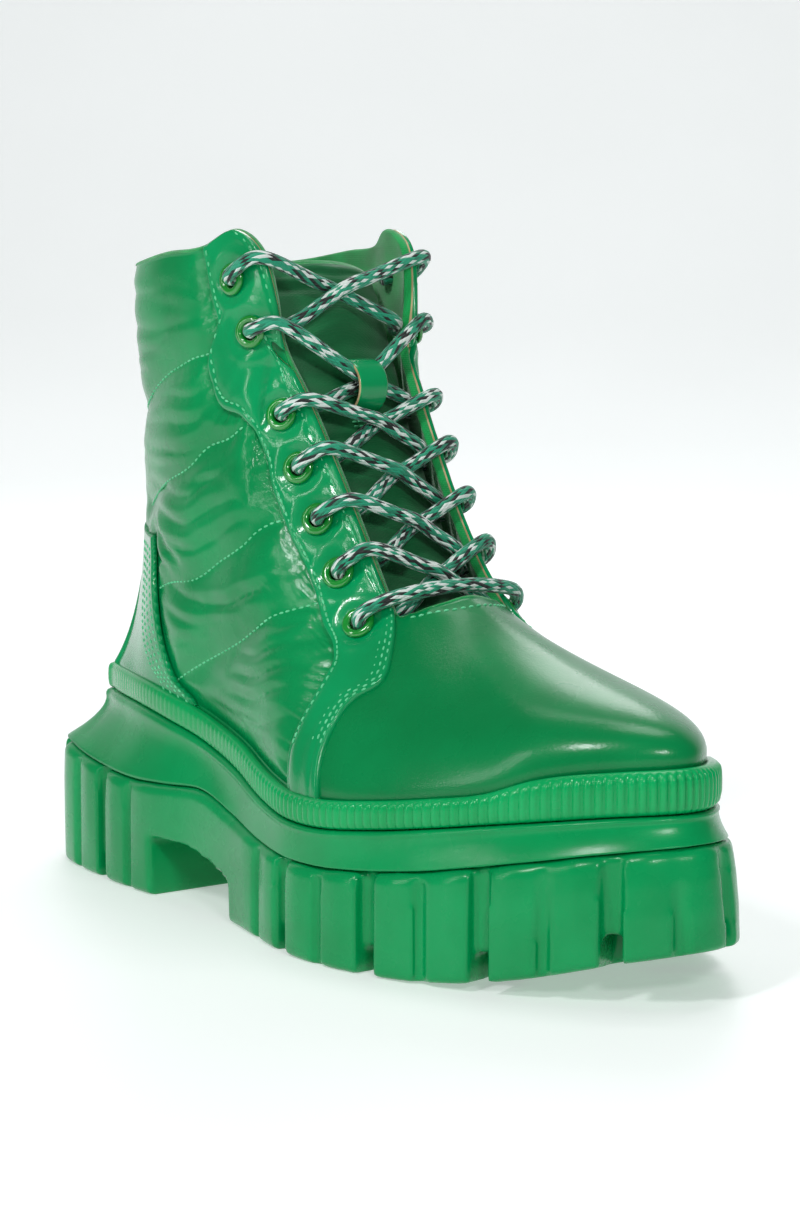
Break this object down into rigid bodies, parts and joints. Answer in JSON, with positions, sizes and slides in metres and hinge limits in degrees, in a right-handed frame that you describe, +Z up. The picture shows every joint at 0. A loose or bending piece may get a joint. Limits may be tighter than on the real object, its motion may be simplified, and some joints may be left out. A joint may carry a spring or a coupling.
{
  "type": "lace-up platform boot",
  "caption": "Padded lace-up ankle boot with a high lugged platform sole, a ribbed band round the toe, eyestays with ring eyelets and crossed round laces.",
  "frame": {"origin": "centre of the bounding box's base, on the floor", "axes": "+X from heel to toe, +Y to the inner side of the foot, +Z up"},
  "size_m": [0.2928, 0.1136, 0.2088],
  "materials": {
    "outsole": "satin moulded rubber",
    "midsole": "satin moulded rubber",
    "rand": "satin ribbed rubber",
    "insole": "matt lining cloth",
    "upper": "glossy coated cloth over padding",
    "overlay": "glossy coated leather",
    "tongue": "padded cloth",
    "eyelet": "glossy enamel",
    "lace": "round braid"
  },
  "bodies": {
    "root": {"outsole": "outsole", "midsole": "midsole", "rand": "rand", "insole": "insole", "upper": "upper", "heel_counter": "overlay", "tongue": "tongue", "lace_keeper": "tongue", "eyestay_lateral": "overlay", "eyelet_lateral_1": "eyelet", "eyelet_lateral_2": "eyelet", "eyelet_lateral_3": "eyelet", "eyelet_lateral_4": "eyelet", "eyelet_lateral_5": "eyelet", "eyelet_lateral_6": "eyelet", "eyelet_lateral_7": "eyelet", "eyestay_medial": "overlay", "eyelet_medial_1": "eyelet", "eyelet_medial_2": "eyelet", "eyelet_medial_3": "eyelet", "eyelet_medial_4": "eyelet", "eyelet_medial_5": "eyelet", "eyelet_medial_6": "eyelet", "eyelet_medial_7": "eyelet", "lace_crossing_1": "lace", "lace_crossing_2": "lace", "lace_crossing_3": "lace", "lace_crossing_4": "lace", "lace_crossing_5": "lace", "lace_crossing_6": "lace", "lace_bar": "lace"}
  },
  "joints": []
}
